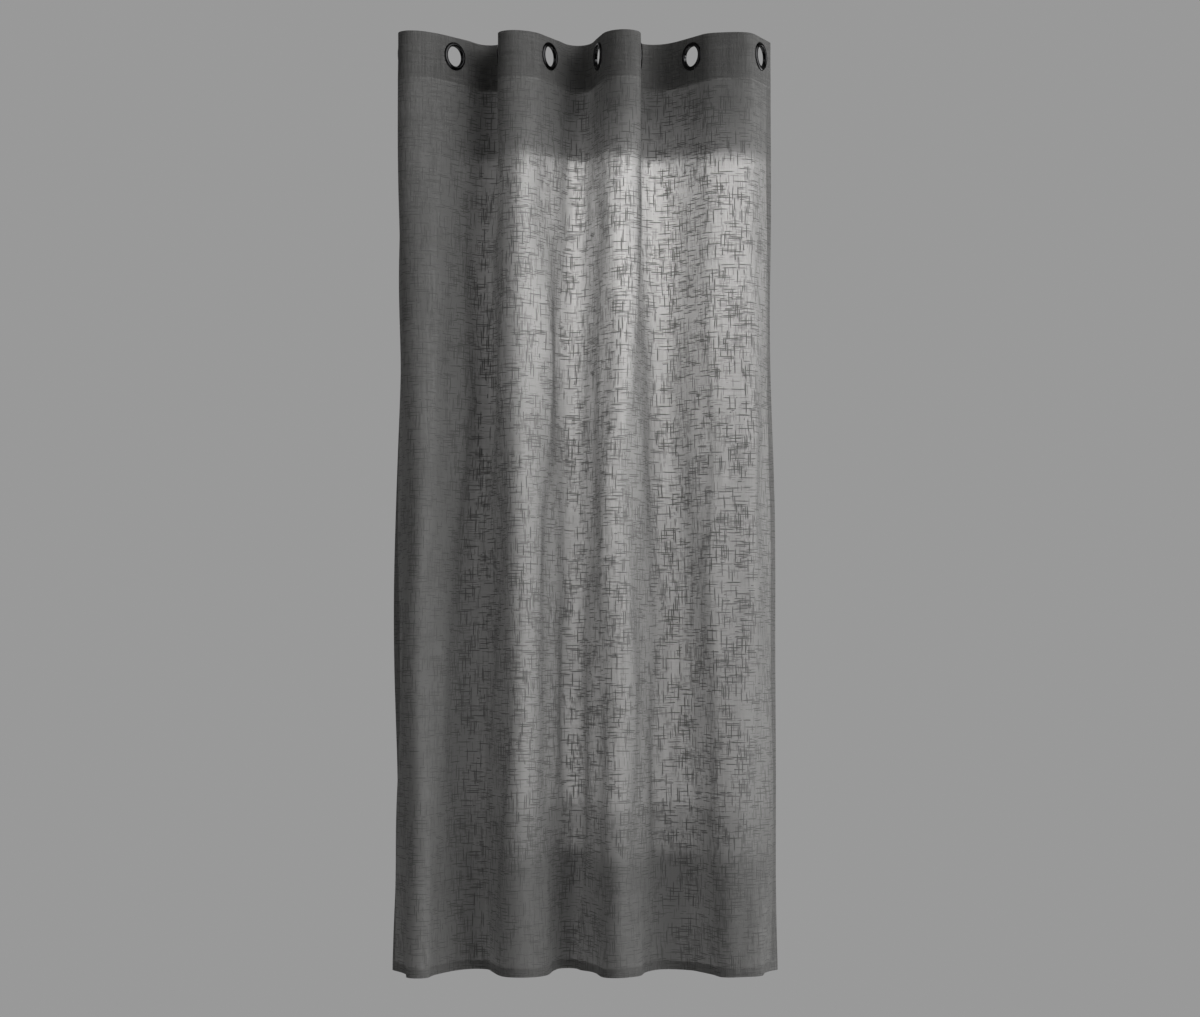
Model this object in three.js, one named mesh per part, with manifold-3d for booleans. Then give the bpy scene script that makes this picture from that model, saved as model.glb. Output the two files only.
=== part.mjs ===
// Fabric room curtain panel with an eyelet header, hanging in soft folds.
// Millimetres, +Z up, +X along the rod line, the face of the cloth towards -Y.
// The origin is on the line through the centres of the eyelets, half way along the row.
import * as THREE from "three";
import { mergeVertices } from "three/addons/utils/BufferGeometryUtils.js";
import Module from "manifold-3d";

// ---- the cloth, laid flat ----
const PANEL_WIDTH = 1321;
const PANEL_DROP = 1829;
const CLOTH_THICK = 0.6;
const HEADER_DEPTH = 95;
const BOTTOM_HEM = 19;
const SIDE_HEM = 20;
const END_RETURN = 48; // from each side edge to the first and the last eyelet
const EYELET_BELOW_TOP = 38; // from the top edge down to the eyelet centres

// ---- eyelets ----
const EYELET_COUNT = 8;
const EYELET_BORE = 40;
const EYELET_OUTER = 56;
const BARREL_WALL = 1.5;
const DOME_HEIGHT = 3.2;
const DOME_STEPS = 5;
const RING_SIDES = 24;

// ---- header strip, thread and fits ----
const STIFFENER_THICK = 0.4;
const THREAD_WIDTH = 0.6;
const THREAD_THICK = 0.4;
const SEAM_INSET = 3;
const LAYER_GAP = 0.3;
const BARREL_FIT = 0.4; // between the barrel and the back ring or the hole in the cloth

// ---- how the panel hangs ----
const PITCH = (PANEL_WIDTH - 2 * END_RETURN) / (EYELET_COUNT - 1);
const FLAT = EYELET_OUTER / 2 + 2; // the stiff header stays flat this far from an eyelet
// distance between neighbouring eyelets on the rod, as a share of the cloth between them
const HANG_SHARE = [0.587, 0.515, 0.555, 0.544, 0.469, 0.584, 0.779];
// how far each fold line wanders sideways by the time it reaches the hem
const HEM_DRIFT = [3, -20, -6, -1, -10, 10, 26, 7].map((d) => (d * PITCH) / 175);
// angle of the cloth to the rod at each eyelet, and far below it, in degrees
const EYELET_TURN = [101, 46, 97, 59, 74, 94, 50, 63];
const HEM_TURN = [72, 65, 67, 67, 67, 64, 62, 64];
const HEM_FLAT_SHARE = 0.21; // of the cloth between eyelets, beside each fold line near the hem
const SETTLE = 0.6; // share of the fall over which the header's shape changes to the hem's
const FOLD_COLUMNS = 9;
const DROP_ROWS = 6;

const COLOURS = { cloth: 0x8b8985, stiffener: 0xb9b7b2, thread: 0xa3a19c, ring: 0x17181b };
const FINISH = {
  cloth: { roughness: 0.92, metalness: 0 },
  stiffener: { roughness: 0.95, metalness: 0 },
  thread: { roughness: 0.8, metalness: 0 },
  ring: { roughness: 0.22, metalness: 0.85 },
};

// ---- heights ----
const Z_TOP = EYELET_BELOW_TOP;
const Z_HEADER = Z_TOP - HEADER_DEPTH;
const Z_BOTTOM = Z_TOP - PANEL_DROP;
const Z_HEM = Z_BOTTOM + BOTTOM_HEM;

// ---- depths through the cloth, positive towards its face ----
const FACE = CLOTH_THICK / 2;
const REAR = -CLOTH_THICK / 2;
const HEADER_REAR = REAR - 2 * LAYER_GAP - STIFFENER_THICK - CLOTH_THICK;
const HEM_REAR = REAR - LAYER_GAP - CLOTH_THICK;

const wasm = await Module();
wasm.setup();

const lerp = (a, b, t) => a + (b - a) * t;
const radians = (d) => (d * Math.PI) / 180;
const smooth = (a, b, x) => {
  const t = Math.min(1, Math.max(0, (x - a) / (b - a)));
  return t * t * (3 - 2 * t);
};

// 0 in the header, 1 at the bottom hem
const fall = (z) => Math.min(1, Math.max(0, (Z_HEADER - z) / (Z_HEADER - Z_HEM)));

// Position of each eyelet along the rod, the row centred on the origin.
function eyeletLine() {
  const line = [0];
  for (const share of HANG_SHARE) line.push(line[line.length - 1] + share * PITCH);
  const middle = line[line.length - 1] / 2;
  return line.map((x) => x - middle);
}
const EYELET_X = eyeletLine();

// Direction of the cloth inside one fold, u mm past its first eyelet.
function foldAngle(fold, u) {
  const span = PITCH - 2 * fold.flat;
  const v = Math.min(1, Math.max(0, (u - fold.flat) / span));
  const base = lerp(-fold.first, fold.last, v);
  return fold.side * (base - fold.tighten * Math.sin(2 * Math.PI * v) + fold.lean * Math.sin(Math.PI * v));
}

// Travel along and across the rod over the first u mm of a fold.
function foldTravel(fold, u, steps = 120) {
  let x = 0;
  let y = 0;
  for (let i = 0; i < steps; i++) {
    const angle = foldAngle(fold, ((i + 0.5) * u) / steps);
    x += (Math.cos(angle) * u) / steps;
    y += (Math.sin(angle) * u) / steps;
  }
  return [x, y];
}

// Finds the two shape values that bring a fold back to the rod line at its far eyelet.
function solveFold(fold, spacing) {
  for (let i = 0; i < 30; i++) {
    const [x, y] = foldTravel(fold, PITCH);
    const h = 1e-4;
    const [xt, yt] = foldTravel({ ...fold, tighten: fold.tighten + h }, PITCH);
    const [xl, yl] = foldTravel({ ...fold, lean: fold.lean + h }, PITCH);
    const a = (xt - x) / h;
    const b = (xl - x) / h;
    const c = (yt - y) / h;
    const d = (yl - y) / h;
    const det = a * d - b * c;
    const ex = spacing - x;
    fold.tighten += Math.max(-0.2, Math.min(0.2, (d * ex + b * y) / det));
    fold.lean += Math.max(-0.2, Math.min(0.2, (-c * ex - a * y) / det));
  }
  return fold;
}

// The shape of the whole panel in plan at one height.
function planAt(z) {
  const h = fall(z);
  const settle = smooth(0, SETTLE, h);
  const turn = EYELET_TURN.map((t, i) => radians(lerp(t, HEM_TURN[i], settle)));
  const line = EYELET_X.map((x, i) => x + HEM_DRIFT[i] * smooth(0, 1, h));
  const flat = lerp(FLAT, HEM_FLAT_SHARE * PITCH, settle);
  const folds = [];
  for (let k = 0; k < EYELET_COUNT - 1; k++) {
    const side = k % 2 === 0 ? 1 : -1;
    const fold = { side, flat, first: turn[k], last: turn[k + 1], tighten: 0.1, lean: 0 };
    folds.push(solveFold(fold, line[k + 1] - line[k]));
  }
  return { line, turn, folds };
}

const PLANS = new Map();
function plan(z) {
  const key = fall(z).toFixed(6);
  if (!PLANS.has(key)) PLANS.set(key, planAt(z));
  return PLANS.get(key);
}

// Point and direction of the cloth s mm from its left edge, at height z.
function clothAt(s, z) {
  const { line, turn, folds } = plan(z);
  const along = s - END_RETURN;
  if (along <= 0) {
    const angle = -turn[0];
    return [line[0] + along * Math.cos(angle), along * Math.sin(angle), angle];
  }
  if (along >= (EYELET_COUNT - 1) * PITCH) {
    const past = along - (EYELET_COUNT - 1) * PITCH;
    const angle = turn[EYELET_COUNT - 1];
    return [line[EYELET_COUNT - 1] + past * Math.cos(angle), past * Math.sin(angle), angle];
  }
  const k = Math.min(EYELET_COUNT - 2, Math.floor(along / PITCH));
  const u = along - k * PITCH;
  const [x, y] = foldTravel(folds[k], u);
  return [line[k] + x, y, foldAngle(folds[k], u)];
}

const CACHE = new Map();
function offsetPoint(s, z, t) {
  const key = `${s.toFixed(4)} ${fall(z).toFixed(6)}`;
  if (!CACHE.has(key)) CACHE.set(key, clothAt(s, z));
  const [x, y, angle] = CACHE.get(key);
  return [x + t * Math.sin(angle), y - t * Math.cos(angle), z];
}

// Every place along the width where the mesh has a column.
function columns() {
  const edge = [0, CLOTH_THICK, SIDE_HEM - SEAM_INSET - THREAD_WIDTH / 2];
  edge.push(SIDE_HEM - SEAM_INSET + THREAD_WIDTH / 2, SIDE_HEM);
  const list = [...edge];
  for (let k = 0; k < EYELET_COUNT; k++) {
    const centre = END_RETURN + k * PITCH;
    if (k > 0) list.push(centre - FLAT);
    list.push(centre);
    if (k === EYELET_COUNT - 1) break;
    list.push(centre + FLAT);
    const step = (PITCH - 2 * FLAT) / FOLD_COLUMNS;
    for (let i = 1; i < FOLD_COLUMNS; i++) list.push(centre + FLAT + i * step);
  }
  for (const s of [...edge].reverse()) list.push(PANEL_WIDTH - s);
  return list;
}
const COLUMNS = columns();

// Heights between the header and the bottom hem, going down.
function dropRows(from, to) {
  const rows = [from];
  for (let i = 1; i < DROP_ROWS; i++) rows.push(lerp(Z_HEADER, Z_HEM, (i / DROP_ROWS) ** 1.15));
  rows.push(to);
  return rows;
}

// Joins closed outlines one after another. Each face splits from the near edge above to
// the far edge below, so that neighbouring layers bend alike. The end faces are closed one
// block of the outline at a time.
function loft(rings, outline, splits, blocks) {
  const n = outline.length;
  const faces = [];
  for (let j = 0; j + 1 < rings.length; j++) {
    for (let i = 0; i < n; i++) {
      const m = (i + 1) % n;
      const [a, b, c, d] = [j * n + i, j * n + m, (j + 1) * n + m, (j + 1) * n + i];
      if (splits(outline[i], outline[m])) faces.push(a, b, c, a, c, d);
      else faces.push(a, b, d, b, c, d);
    }
  }
  const flat = outline.map(([p, q]) => new THREE.Vector2(p, q));
  const way = Math.sign(THREE.ShapeUtils.area(flat));
  const last = (rings.length - 1) * n;
  for (const block of blocks ?? [outline.map((_, i) => i)]) {
    for (const ear of THREE.ShapeUtils.triangulateShape(block.map((i) => flat[i]), [])) {
      const cap = ear.map((i) => block[i]);
      const same = Math.sign(THREE.ShapeUtils.area(cap.map((i) => flat[i]))) === way;
      const [a, b, c] = same ? cap : [...cap].reverse();
      faces.push(a, c, b, last + a, last + b, last + c);
    }
  }
  return closedGeometry(rings.flat(2), faces);
}

// Carries a closed outline of [depth, height] pairs along the given columns.
function sweep(outline, cols, blocks) {
  const rings = cols.map((s) => outline.map(([t, z]) => offsetPoint(s, z, t)));
  return loft(rings, outline, (from, to) => to[1] < from[1], blocks);
}

// Carries a closed outline of [distance from the left edge, depth] pairs down the rows.
function sweepDown(outline, rows) {
  const rings = rows.map((z) => outline.map(([s, t]) => offsetPoint(s, z, t)));
  return loft(rings, outline, (from, to) => to[0] > from[0]);
}

// Builds the geometry and turns it inside out when its faces point inwards.
function closedGeometry(points, faces) {
  let volume = 0;
  const at = (i) => new THREE.Vector3().fromArray(points, 3 * i);
  for (let i = 0; i < faces.length; i += 3) {
    volume += at(faces[i]).dot(at(faces[i + 1]).cross(at(faces[i + 2])));
  }
  if (volume < 0) {
    for (let i = 0; i < faces.length; i += 3) [faces[i], faces[i + 1]] = [faces[i + 1], faces[i]];
  }
  const geometry = new THREE.BufferGeometry();
  geometry.setAttribute("position", new THREE.Float32BufferAttribute(points, 3));
  geometry.setIndex(faces);
  return geometry;
}

function toManifold(geometry) {
  const bare = new THREE.BufferGeometry();
  bare.setAttribute("position", geometry.getAttribute("position"));
  if (geometry.index) bare.setIndex(geometry.index);
  const merged = mergeVertices(bare, 1e-4);
  return new wasm.Manifold(
    new wasm.Mesh({
      numProp: 3,
      vertProperties: new Float32Array(merged.getAttribute("position").array),
      triVerts: new Uint32Array(merged.index.array),
    }),
  );
}

function fromManifold(solid) {
  const mesh = solid.getMesh();
  const geometry = new THREE.BufferGeometry();
  const step = mesh.numProp;
  const points = [];
  for (let i = 0; i < mesh.vertProperties.length; i += step) {
    points.push(...mesh.vertProperties.slice(i, i + 3));
  }
  geometry.setAttribute("position", new THREE.Float32BufferAttribute(points, 3));
  geometry.setIndex(Array.from(mesh.triVerts));
  return geometry;
}

// Turns a shape made about the Y axis so that Y points out of the face of the cloth.
function faceOut(angle) {
  const out = new THREE.Vector3(Math.sin(angle), -Math.cos(angle), 0);
  return new THREE.Quaternion().setFromUnitVectors(new THREE.Vector3(0, 1, 0), out);
}

function eyeletAngle(k) {
  const side = k % 2 === 0 ? -1 : 1;
  return side * radians(EYELET_TURN[k]);
}

// Punches the eyelet holes through a layer of the header.
function punched(solid) {
  let result = solid;
  const radius = EYELET_BORE / 2 + BARREL_WALL + BARREL_FIT;
  for (let k = 0; k < EYELET_COUNT; k++) {
    const hole = new THREE.CylinderGeometry(radius, radius, 12, RING_SIDES);
    hole.applyQuaternion(faceOut(eyeletAngle(k)));
    hole.translate(EYELET_X[k], 0, 0);
    result = result.subtract(toManifold(hole));
  }
  return result;
}

// The panel: one length of cloth with its header and its hem turned to the rear.
function clothGeometry() {
  const down = [[FACE, Z_TOP], ...dropRows(Z_HEADER, Z_HEM).map((z) => [FACE, z]), [FACE, Z_BOTTOM]];
  const hem = [
    [HEM_REAR, Z_BOTTOM],
    [HEM_REAR, Z_HEM],
    [REAR - LAYER_GAP, Z_HEM],
    [REAR - LAYER_GAP, Z_BOTTOM + CLOTH_THICK],
    [REAR, Z_BOTTOM + CLOTH_THICK],
  ];
  const up = dropRows(Z_HEADER, Z_HEM).reverse().map((z) => [REAR, z]);
  const header = [
    [REAR, Z_TOP - CLOTH_THICK],
    [HEADER_REAR + CLOTH_THICK, Z_TOP - CLOTH_THICK],
    [HEADER_REAR + CLOTH_THICK, Z_HEADER],
    [HEADER_REAR, Z_HEADER],
    [HEADER_REAR, Z_TOP],
  ];
  const outline = [...down, ...hem, ...up, ...header];
  const cols = COLUMNS.filter((s) => s >= CLOTH_THICK && s <= PANEL_WIDTH - CLOTH_THICK);
  let solid = toManifold(sweep(outline, cols, clothBlocks(outline.length)));
  for (const right of [false, true]) solid = solid.add(sideHem(right));
  return fromManifold(punched(solid));
}

// The header, each row and the hem, as lists of places in the outline of the cloth.
function clothBlocks(count) {
  const under = DROP_ROWS + 2; // the face at the bottom edge
  const rear = under + 6; // the rear at the top of the hem
  const blocks = [[0, 1]];
  for (let i = rear + DROP_ROWS; i < count; i++) blocks[0].push(i);
  for (let i = 1; i <= DROP_ROWS; i++) {
    const across = rear + DROP_ROWS + 1 - i;
    blocks.push([i, i + 1, across - 1, across]);
  }
  const hem = [];
  for (let i = under - 1; i <= rear; i++) hem.push(i);
  return [...blocks, hem];
}

// The edge turned to the rear down one side, between the header and the bottom hem.
function sideHem(right) {
  const near = REAR - LAYER_GAP;
  const edge = COLUMNS.filter((s) => s <= SIDE_HEM && s !== CLOTH_THICK);
  const inner = [...edge.slice(1)].reverse();
  inner.push(2 * CLOTH_THICK);
  const outline = [[0, FACE / 3], ...edge.map((s) => [s, HEM_REAR]), ...inner.map((s) => [s, near])];
  outline.push([2 * CLOTH_THICK, FACE / 3]);
  const placed = outline.map(([s, t]) => [right ? PANEL_WIDTH - s : s, t]);
  return toManifold(sweepDown(placed, dropRows(Z_HEADER - 1, Z_HEM + 1)));
}

function stiffenerGeometry() {
  const top = Z_TOP - CLOTH_THICK - LAYER_GAP;
  const low = Z_HEADER + SEAM_INSET + THREAD_WIDTH;
  const near = REAR - LAYER_GAP;
  const outline = [[near, top], [near, low], [near - STIFFENER_THICK, low], [near - STIFFENER_THICK, top]];
  const cols = COLUMNS.filter((s) => s >= SIDE_HEM && s <= PANEL_WIDTH - SIDE_HEM);
  return fromManifold(punched(toManifold(sweep(outline, cols))));
}

// A line of stitching across the face of the panel.
function crossSeam(z) {
  const near = FACE + LAYER_GAP;
  const far = near + THREAD_THICK;
  const [high, low] = [z + THREAD_WIDTH / 2, z - THREAD_WIDTH / 2];
  const cols = COLUMNS.filter((s) => s > 0 && s < PANEL_WIDTH);
  return sweep([[near, high], [near, low], [far, low], [far, high]], cols);
}

// A line of stitching down the face beside one edge.
function sideSeam(right) {
  const near = FACE + LAYER_GAP;
  const far = near + THREAD_THICK;
  const inset = SIDE_HEM - SEAM_INSET;
  const from = (right ? PANEL_WIDTH - inset : inset) - THREAD_WIDTH / 2;
  const to = from + THREAD_WIDTH;
  return sweepDown([[from, near], [to, near], [to, far], [from, far]], dropRows(Z_HEADER - 1, Z_HEM + 1));
}

// Closed outline of a ring half, from [radius, height] pairs turned about the bore.
function turned(outline) {
  const points = outline.map(([r, h]) => new THREE.Vector2(r, h));
  if (THREE.ShapeUtils.area(points) < 0) points.reverse();
  points.push(points[0].clone());
  return mergeVertices(stripped(new THREE.LatheGeometry(points, RING_SIDES)), 1e-4);
}

function stripped(geometry) {
  geometry.deleteAttribute("normal");
  geometry.deleteAttribute("uv");
  return geometry;
}

// Domed flange between two radii, its flat side at the given height.
function dome(inner, outer, base, height) {
  const mid = (inner + outer) / 2;
  const half = (outer - inner) / 2;
  const list = [];
  for (let i = 0; i <= DOME_STEPS; i++) {
    const a = (Math.PI * i) / DOME_STEPS;
    list.push([mid + half * Math.cos(a), base + height * Math.sin(a) ** 0.7]);
  }
  return list;
}

function frontRing() {
  const base = FACE + LAYER_GAP;
  const bore = EYELET_BORE / 2;
  const tip = HEADER_REAR - LAYER_GAP - DOME_HEIGHT * 0.55;
  const barrel = [[bore, tip], [bore + BARREL_WALL, tip], [bore + BARREL_WALL, base]];
  return turned([...barrel, ...dome(bore, EYELET_OUTER / 2, base, DOME_HEIGHT)]);
}

function backRing() {
  const base = HEADER_REAR - LAYER_GAP;
  const bore = EYELET_BORE / 2 + BARREL_WALL + BARREL_FIT;
  return turned(dome(bore, EYELET_OUTER / 2, base, -DOME_HEIGHT));
}

const MATERIALS = Object.fromEntries(
  Object.entries(COLOURS).map(([name, color]) => [
    name,
    new THREE.MeshStandardMaterial({ color, ...FINISH[name] }),
  ]),
);

function piece(name, geometry, finish) {
  const mesh = new THREE.Mesh(geometry, MATERIALS[finish]);
  mesh.name = name;
  return mesh;
}

// One eyelet, placed on the rod line and turned with the cloth.
function eyelet(k) {
  const group = new THREE.Group();
  group.name = `eyelet_${k + 1}`;
  group.add(piece(`eyelet_${k + 1}_front`, frontRing(), "ring"));
  group.add(piece(`eyelet_${k + 1}_back`, backRing(), "ring"));
  group.position.set(EYELET_X[k], 0, 0);
  group.quaternion.copy(faceOut(eyeletAngle(k)));
  return group;
}

function panel() {
  const group = new THREE.Group();
  group.name = "curtain_panel";
  group.add(piece("cloth", clothGeometry(), "cloth"));
  group.add(piece("header_stiffener", stiffenerGeometry(), "stiffener"));
  group.add(piece("header_seam_thread", crossSeam(Z_HEADER + SEAM_INSET), "thread"));
  group.add(piece("hem_seam_thread", crossSeam(Z_HEM - SEAM_INSET), "thread"));
  group.add(piece("left_seam_thread", sideSeam(false), "thread"));
  group.add(piece("right_seam_thread", sideSeam(true), "thread"));
  for (let k = 0; k < EYELET_COUNT; k++) group.add(eyelet(k));
  return group;
}

export default panel();
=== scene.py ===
"""Looks for the eyelet curtain panel: woven cloth, header, hems, stitching and eyelets.

All sizes are in metres, in the frame of the CAD part: +X along the rod line, +Z up, the face of the cloth
towards -Y, and the origin on the line through the eyelet centres.
"""

import logging
import math
from dataclasses import dataclass, field
from enum import Enum
from functools import cached_property
from typing import Iterable, Sequence

import bpy
import numpy as np
from mathutils import Euler, Matrix, Vector


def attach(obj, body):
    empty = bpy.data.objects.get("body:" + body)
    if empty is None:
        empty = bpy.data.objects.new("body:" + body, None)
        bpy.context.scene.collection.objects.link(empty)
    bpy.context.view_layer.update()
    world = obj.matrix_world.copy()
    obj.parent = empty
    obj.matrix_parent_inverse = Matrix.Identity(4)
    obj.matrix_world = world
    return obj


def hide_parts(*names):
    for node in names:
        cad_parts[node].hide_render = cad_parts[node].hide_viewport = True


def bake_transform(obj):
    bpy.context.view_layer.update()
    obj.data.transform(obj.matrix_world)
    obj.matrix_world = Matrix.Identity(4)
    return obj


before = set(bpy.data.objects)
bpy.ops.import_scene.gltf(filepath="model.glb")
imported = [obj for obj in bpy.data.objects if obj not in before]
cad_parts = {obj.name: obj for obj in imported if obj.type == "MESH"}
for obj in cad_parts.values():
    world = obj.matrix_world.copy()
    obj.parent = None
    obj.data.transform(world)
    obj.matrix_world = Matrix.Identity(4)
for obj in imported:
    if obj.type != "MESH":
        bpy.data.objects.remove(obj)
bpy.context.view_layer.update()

logging.basicConfig(level=logging.INFO, format="%(message)s")
log = logging.getLogger("curtain")

Array = np.ndarray
Colour = tuple[float, float, float]
MM = 0.001


# ----------------------------------------------------------------------------------------------------------
# Sizes
# ----------------------------------------------------------------------------------------------------------
@dataclass(frozen=True)
class PanelSizes:
    """The finished panel laid flat, and the layers of its header and hems.

    A stitched seam presses the header's layers together by pinch_share at most, and within about
    pinch_reach of it. Mesh points up to hole_snap inside an eyelet hole are moved out to its edge.
    """

    width: float = 1.321
    drop: float = 1.829
    header_depth: float = 0.095
    bottom_hem: float = 0.019
    side_hem: float = 0.020
    end_return: float = 0.048
    eyelet_below_top: float = 0.038
    eyelet_count: int = 8
    hole_radius: float = 0.0235
    hole_snap: float = 3.4 * MM
    pinch_share: float = 0.6
    pinch_reach: float = 0.009
    header_gap: float = 1.3 * MM
    hem_gap: float = 0.8 * MM
    seam_inset: float = 3.0 * MM
    seam_end: float = 0.001

    @property
    def pitch(self) -> float:
        """Cloth between neighbouring eyelets."""
        return (self.width - 2 * self.end_return) / (self.eyelet_count - 1)

    @property
    def z_top(self) -> float:
        """Height of the top edge."""
        return self.eyelet_below_top

    @property
    def z_header(self) -> float:
        """Height of the header's lower edge."""
        return self.z_top - self.header_depth

    @property
    def z_bottom(self) -> float:
        """Height of the bottom edge."""
        return self.z_top - self.drop

    @property
    def z_hem(self) -> float:
        """Height of the bottom hem's upper edge."""
        return self.z_bottom + self.bottom_hem

    def eyelet_s(self, k: int) -> float:
        """Distance of eyelet k from the left edge, along the cloth."""
        return self.end_return + k * self.pitch


@dataclass(frozen=True)
class HangSizes:
    """How the panel hangs on its rod, as in the CAD part."""

    shares: tuple[float, ...] = (0.587, 0.515, 0.555, 0.544, 0.469, 0.584, 0.779)
    hem_drift: tuple[float, ...] = (0.003, -0.020, -0.006, -0.001, -0.010, 0.010, 0.026, 0.007)
    eyelet_turn: tuple[float, ...] = (101, 46, 97, 59, 74, 94, 50, 63)
    hem_turn: tuple[float, ...] = (72, 65, 67, 67, 67, 64, 62, 64)
    flat: float = 0.030
    hem_flat_share: float = 0.21
    settle: float = 0.6
    rows: int = 150
    steps_per_fold: int = 350


@dataclass(frozen=True)
class WrinkleSizes:
    """Natural unevenness of the hanging cloth.

    Long waves lie across and down the panel, each wave_height high for every wave_unit of its length, and
    only header_share of them is left in the header. Seams pucker the cloth beside them, by a height that
    dies away over a distance. Nothing moves the cloth within the first of two distances round an eyelet.
    The bottom edge sags. A sine wave is given as its height, its length and its phase.
    """

    wave_count: int = 26
    wave_across: tuple[float, float] = (0.06, 0.17)
    wave_down: tuple[float, float] = (0.45, 1.5)
    wave_height: float = 0.0007
    wave_unit: float = 0.1
    header_share: float = 0.12
    full_waves: tuple[float, float] = (-0.02, 0.45)
    pucker_pitch: float = 0.0135
    pucker_shift: float = 2.2
    pucker_drift: tuple[tuple[float, float, float], ...] = ((0.8, 0.087, 0.0), (0.5, 0.039, 1.0))
    header_pucker: tuple[float, float] = (0.00022, 0.011)
    hem_pucker: tuple[float, float] = (0.00030, 0.013)
    round_eyelet: tuple[float, float] = (0.028, 0.060)
    sag_reach: float = 0.45
    sags: tuple[tuple[float, float, float], ...] = ((0.0011, 0.31, 0.6), (0.0006, 0.117, 0.0))


def smooth(a: float, b: float, x: Array) -> Array:
    """Rises from 0 at a to 1 at b with no corners."""
    t = np.clip((x - a) / (b - a), 0, 1)
    return t * t * (3 - 2 * t)


def sines(s: Array, rows: Iterable[tuple[float, float, float]]) -> Array:
    """Adds up sine waves along a distance, each a height, a length and a phase."""
    return sum(height * np.sin(2 * np.pi * s / length + phase) for height, length, phase in rows)


# ----------------------------------------------------------------------------------------------------------
# The hanging cloth as a map from the flat cloth to space
# ----------------------------------------------------------------------------------------------------------
class Drape:
    """Carries a point of the flat cloth, and a height through it, to its place on the hanging panel."""

    def __init__(self, panel: PanelSizes, hang: HangSizes, wrinkles: WrinkleSizes) -> None:
        """Solves the folds at every height.

        Args:
            panel: Sizes of the panel.
            hang: How it hangs.
            wrinkles: How uneven the cloth is.
        """
        self.panel, self.hang, self.wrinkles = panel, hang, wrinkles
        self.heights = np.linspace(panel.z_top, panel.z_bottom, hang.rows)
        self.x, self.y, self.turn = self._tables()
        self.waves = self._wave_set()

    @cached_property
    def eyelet_x(self) -> Array:
        """Place of each eyelet along the rod, the row centred on the origin."""
        line = np.concatenate([[0.0], np.cumsum(self.hang.shares)]) * self.panel.pitch
        return line - line[-1] / 2

    def eyelet_angle(self, k: int) -> float:
        """Direction of the cloth to the rod at eyelet k, in radians."""
        return (-1 if k % 2 == 0 else 1) * math.radians(self.hang.eyelet_turn[k])

    def _fold(self, side: int, first: Array, last: Array, flat: Array, spacing: Array) -> tuple[Array, ...]:
        """Shape of one fold at every height, solved so that it ends at the next eyelet.

        Args:
            side: 1 for a fold towards the room, -1 for one towards the wall.
            first: Direction at the first eyelet, one value a height.
            last: Direction at the second eyelet.
            flat: Length that stays flat beside each eyelet.
            spacing: Distance between the two eyelets.

        Returns:
            Travel along the rod, travel across it, and direction, each a table of heights by steps.
        """
        n, pitch = self.hang.steps_per_fold, self.panel.pitch
        du = pitch / n
        u = (np.arange(n) + 0.5) * du

        def parts(at: Array) -> tuple[Array, Array, Array]:
            """Shares of the fold's turn at some distances along it.

            Args:
                at: The distances.

            Returns:
                The even turn, the tightening and the lean, each a table of heights by distances.
            """
            v = np.clip((at[None, :] - flat[:, None]) / (pitch - 2 * flat[:, None]), 0, 1)
            base = -first[:, None] * (1 - v) + last[:, None] * v
            return base, np.sin(2 * np.pi * v), np.sin(np.pi * v)

        base, two, one = parts(u)
        tighten, lean = np.full(len(first), 0.1), np.zeros(len(first))
        for _ in range(30):
            angle = side * (base - tighten[:, None] * two + lean[:, None] * one)
            c, s = np.cos(angle), np.sin(angle)
            x, y = c.sum(1) * du, s.sum(1) * du
            xt, xl = (s * side * two).sum(1) * du, -(s * side * one).sum(1) * du
            yt, yl = -(c * side * two).sum(1) * du, (c * side * one).sum(1) * du
            det = xt * yl - xl * yt
            ex = spacing - x
            tighten += np.clip((yl * ex + xl * y) / det, -0.2, 0.2)
            lean += np.clip((-yt * ex - xt * y) / det, -0.2, 0.2)
        angle = side * (base - tighten[:, None] * two + lean[:, None] * one)
        zero = np.zeros((len(first), 1))
        along = np.concatenate([zero, np.cumsum(np.cos(angle) * du, axis=1)], axis=1)
        across = np.concatenate([zero, np.cumsum(np.sin(angle) * du, axis=1)], axis=1)
        base, two, one = parts(np.arange(n + 1) * du)
        return along, across, side * (base - tighten[:, None] * two + lean[:, None] * one)

    def _tables(self) -> tuple[Array, Array, Array]:
        """Place and direction of the cloth at each height, every half millimetre along it.

        Returns:
            Three tables of heights by steps from the first eyelet to the last.
        """
        p, hang = self.panel, self.hang
        fall = np.clip((p.z_header - self.heights) / (p.z_header - p.z_hem), 0, 1)
        settle, drift = smooth(0, hang.settle, fall), smooth(0, 1, fall)
        top, low = np.radians(hang.eyelet_turn), np.radians(hang.hem_turn)
        turns = top[None, :] * (1 - settle[:, None]) + low[None, :] * settle[:, None]
        line = self.eyelet_x[None, :] + np.array(hang.hem_drift)[None, :] * drift[:, None]
        flat = hang.flat + (hang.hem_flat_share * p.pitch - hang.flat) * settle
        xs, ys, angles = [], [], []
        for k in range(p.eyelet_count - 1):
            side = 1 if k % 2 == 0 else -1
            got = self._fold(side, turns[:, k], turns[:, k + 1], flat, line[:, k + 1] - line[:, k])
            cut = slice(None) if k == p.eyelet_count - 2 else slice(0, -1)
            xs.append(line[:, k : k + 1] + got[0][:, cut])
            ys.append(got[1][:, cut])
            angles.append(got[2][:, cut])
        return np.concatenate(xs, 1), np.concatenate(ys, 1), np.concatenate(angles, 1)

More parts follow.
